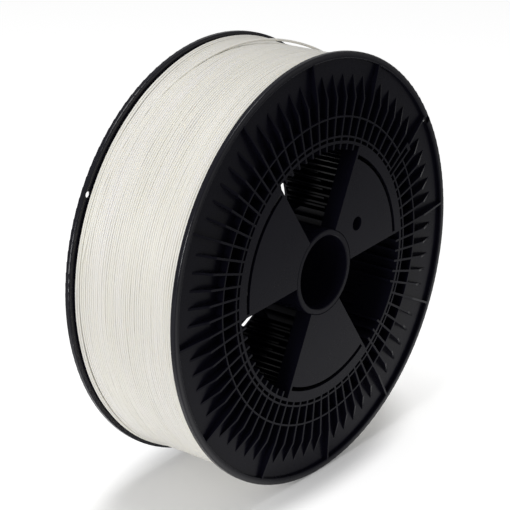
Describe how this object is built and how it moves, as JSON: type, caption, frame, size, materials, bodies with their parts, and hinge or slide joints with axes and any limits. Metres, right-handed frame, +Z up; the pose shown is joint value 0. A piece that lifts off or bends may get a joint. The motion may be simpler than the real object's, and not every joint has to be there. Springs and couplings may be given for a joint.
{
  "type": "filament spool",
  "caption": "Black plastic reel with two finned flanges, a spindle bore and open sector windows, wound full with white filament.",
  "frame": {"origin": "centre of the spindle bore, midway between the two end faces", "axes": "+Y along the spindle bore from the near half to the far half, +Z up, +X to the right seen from the near side"},
  "size_m": [0.3, 0.1, 0.3],
  "materials": {
    "reel_plastic": "satin injection-moulded black plastic",
    "filament": "smooth extruded off-white filament"
  },
  "bodies": {
    "root": {"near_hub": "reel_plastic", "near_drum": "reel_plastic", "near_flange": "reel_plastic", "near_sector_plate_1": "reel_plastic", "near_sector_plate_2": "reel_plastic", "near_sector_plate_3": "reel_plastic", "far_hub": "reel_plastic", "far_drum": "reel_plastic", "far_flange": "reel_plastic", "far_sector_plate_1": "reel_plastic", "far_sector_plate_2": "reel_plastic", "far_sector_plate_3": "reel_plastic", "filament_winding": "filament", "filament_last_turn": "filament"}
  },
  "joints": []
}
